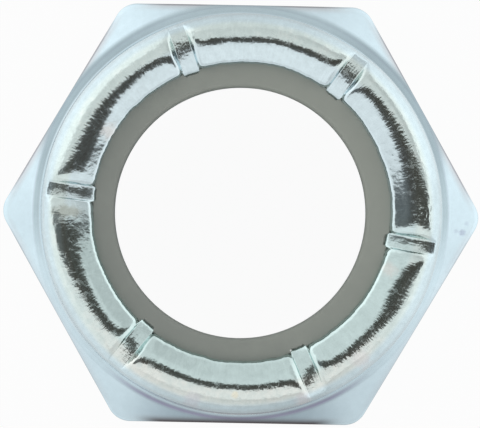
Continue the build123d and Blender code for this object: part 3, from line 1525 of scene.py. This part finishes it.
@dataclass
class Studio:
    """Floor, light tent and camera."""

    camera_distance: float = 1.0  # metres from the origin to the camera
    tilt: float = 0.3  # degrees
    roll: float = 1.07  # degrees
    sensor: float = 36.0  # the camera's, in millimetres
    frame_width: float = 30.987  # of the camera's view at frame_height
    frame_height: float = 15.0
    aim: Point = (-0.046, 0.008)  # where the camera looks, to the right of the axis and above it
    floor_gap: float = 0.02  # from the bearing face down to the floor
    floor_half: float = 4.0  # metres
    floor_colour: Colour = (0.86, 0.86, 0.86)
    # Level of the floor in reflections, a painted shadow of the nut: under the nut, and what it gains over
    # distances in metres.
    shadowed_floor_level: float = 0.4
    floor_gains: tuple[tuple[Span, float], ...] = (((0.014, 0.02), 0.45), ((0.02, 0.06), 0.15))
    floor_south_shade: Lobe = Lobe(0.0, -1.0, 0.8, 1.0, 0.12)  # painted shade by which it is darker towards -Y
    floor_glow: tuple[float, float] = (0.95, 0.9)  # shares of its glow, to the camera and in reflections
    white: Colour = (1.0, 1.0, 1.0)
    rim_level: float = 0.93
    rim_along: float = 0.125  # by which the rim is brighter along X and darker along Y
    rim_east: float = 0.02  # by which it is brighter towards +X
    rim_north: float = 0.01
    rim_lobes: tuple[Lobe, ...] = (
        Lobe(0.79, 0.62, 0.84, 0.99, 0.15),
        Lobe(-0.77, 0.64, 0.8, 0.98, 0.22),
        Lobe(0.5, -0.87, 0.85, 1.0, -0.1),
    )
    upper_level: float = 0.84
    upper_fall: float = 0.14  # of its level towards +Y
    upper_lobe: Lobe = Lobe(0.79, 0.61, 0.7, 1.0, 0.17)  # by which it is darker
    # Upward parts of directions: where that lobe and the rim come in, and a band that is darker to -Y.
    lobe_rise: Span = (0.85, 0.7)
    rim_rise: Span = (0.6, 0.46)
    south_band: tuple[float, float, float] = (0.4, 0.58, 0.05)
    south_dark: float = 0.1
    # The slit's half length and half width, and its place along Y, as parts of directions.
    slit_long: float = 0.84
    slit_half: float = 0.21
    slit_off: float = -0.02
    slit_wide: float = 0.045  # by which the slit is wider and further off at its +X end
    slit_widening: Span = (0.0, 0.5)  # share of +X in the direction over which it widens
    slit_powers: tuple[int, int] = (5, 3)  # of its rounded outline, along and across
    slit_edge: Span = (1.12, 0.9)  # as shares of its length and width
    slit_rise: Span = (0.0, 0.2)  # upward parts of directions, which keep it out of the lower half
    patch_rise: Span = (-0.05, 0.2)  # values of the noise over which its paler patches come in
    patch_strength: float = 0.3
    west_rise: Span = (-0.3, -0.75)  # share of +X in the direction over which it grows paler
    west_strength: float = 0.5
    slit_dark: Colour = (0.066, 0.06, 0.052)
    slit_pale: Colour = (0.17, 0.185, 0.195)

    def rim(self, x: Value, y: Value) -> Value:
        """Level of the tent near the horizon, which is brighter on two sides.

        Args:
            x: First part of the direction from the axis.
            y: Second part.

        Returns:
            The level.
        """
        size = distance(x, y)
        east, north = x / size, y / size
        level = self.rim_level + (east * east - north * north) * self.rim_along
        level += east * self.rim_east
        level += north * self.rim_north
        for lobe in self.rim_lobes:
            level += lobe.at(east, north)
        return level

    def floor(self) -> bpy.types.Object:
        """Lays a plain pale floor.

        Returns:
            The floor.
        """
        mesh = bpy.data.meshes.new("floor")
        half, down = self.floor_half, -self.floor_gap * MM
        corners = [(-half, -half, down), (half, -half, down), (half, half, down), (-half, half, down)]
        mesh.from_pydata(corners, [], [(0, 1, 2, 3)])
        made = new_object("floor", mesh)
        made.data.materials.append(self.floor_material())
        return made

    def floor_material(self) -> bpy.types.Material:
        """Makes the floor's material.

        Returns:
            The material: plain to the camera, part of the tent to a reflection, and clear from below.
        """
        material, tree = new_material("floor")
        path = tree.add("ShaderNodeLightPath").socket.node
        seen = Value(tree, path.outputs["Is Camera Ray"])
        glossy = Value(tree, path.outputs["Is Glossy Ray"])
        through = Value(tree, path.outputs["Is Transmission Ray"])
        x, y, _ = tree.parts(tree.add("ShaderNodeTexCoord", None, None, "Object"))
        # Painted shadow: in reflections the floor is darker near the nut and towards -Y.
        away = distance(x, y)
        near = sum((away.step(*span) * gain for span, gain in self.floor_gains), self.shadowed_floor_level)
        south = self.floor_south_shade.at(x / away, y / away)
        mirrored = (glossy + through).at_most(1.0) * (1 - seen)
        level = (self.rim(x, y) * near - south) * mirrored + seen
        grey = tree.vector(level, level, level)
        glow = tree.add("ShaderNodeEmission", None, {"Color": grey, "Strength": 1.0})
        plain = tree.add("ShaderNodeBsdfDiffuse", None, {"Color": self.floor_colour})
        clear = tree.add("ShaderNodeBsdfTransparent")
        glowing = seen * self.floor_glow[0] + mirrored * self.floor_glow[1]
        mixed = tree.add("ShaderNodeMixShader", None, {0: glowing, 1: plain, 2: glow})
        below = tree.add("ShaderNodeNewGeometry", None, None, "Backfacing")
        mixed = tree.add("ShaderNodeMixShader", None, {0: below, 1: mixed, 2: clear})
        tree.add("ShaderNodeOutputMaterial", None, {"Surface": mixed})
        return material

    def tent(self) -> None:
        """Surrounds the nut with a soft white tent that has a dark slit overhead."""
        world = bpy.data.worlds.new("tent")
        world.use_nodes = True
        bpy.context.scene.world = world
        tree = NodeTree(world.node_tree)
        way = tree.add("ShaderNodeTexCoord", None, None, "Generated")
        x, y, z = tree.parts(way)
        size = distance(x, y)
        east, north = x / size, y / size
        lobe = self.upper_lobe.at(east, north) * z.step(*self.lobe_rise)
        upper = self.upper_level - y * self.upper_fall - lobe
        low = z.step(*self.rim_rise)
        level = upper * (1 - low) + self.rim(x, y) * low
        level += north.at_most(0.0) * z.band(*self.south_band) * self.south_dark
        wide = x.step(*self.slit_widening)
        off = self.slit_off - wide * self.slit_wide
        half = self.slit_half + wide * self.slit_wide
        oval = (abs(x) / self.slit_long) ** self.slit_powers[0] + (abs(y - off) / half) ** self.slit_powers[1]
        slit = oval.step(*self.slit_edge) * z.step(*self.slit_rise)
        patch = tree.noise(way, 5.0).step(*self.patch_rise) * self.patch_strength
        patch += x.step(*self.west_rise) * self.west_strength
        dark = tree.mix(patch, self.slit_dark, self.slit_pale)
        colour = tree.mix(slit, tree.vector(level, level, level), dark)
        seen = Value(tree, tree.add("ShaderNodeLightPath").socket.node.outputs["Is Camera Ray"])
        colour = tree.mix(seen, colour, self.white)
        light = tree.add("ShaderNodeBackground", None, {"Color": colour, "Strength": 1.0})
        tree.add("ShaderNodeOutputWorld", None, {"Surface": light})

    def camera(self) -> bpy.types.Object:
        """Sets the camera nearly straight above the nut.

        Returns:
            The camera.
        """
        data = bpy.data.cameras.new("camera")
        made = new_object("camera", data)
        gap = self.camera_distance * PER_METRE - self.frame_height
        data.sensor_width = self.sensor
        data.lens = self.sensor * gap / self.frame_width
        turn = Matrix.Rotation(radians(self.tilt), 3, "X") @ Matrix.Rotation(radians(self.roll), 3, "Z")
        right, up, back = (turn @ Vector(axis) for axis in ((1, 0, 0), (0, 1, 0), (0, 0, 1)))
        middle = Vector((0, 0, self.frame_height * MM))
        middle += (right * self.aim[0] + up * self.aim[1]) * MM
        made.matrix_world = Matrix.Translation(middle + back * gap * MM) @ turn.to_4x4()
        bpy.context.scene.camera = made
        return made

    def build(self) -> None:
        """Builds the studio."""
        self.floor()
        self.tent()
        self.camera()


def main() -> None:
    """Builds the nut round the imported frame, and the studio."""
    logging.basicConfig(level=logging.INFO, format="%(name)s %(message)s")
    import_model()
    view = bpy.context.scene.view_settings
    view.view_transform = "Standard"
    for part in (NutBody(), NylonInsert()):
        piece = part.build()
        LOG.info("%s: %d faces", piece.name, len(piece.data.polygons))
    Studio().build()


if __name__ == "__main__":
    main()
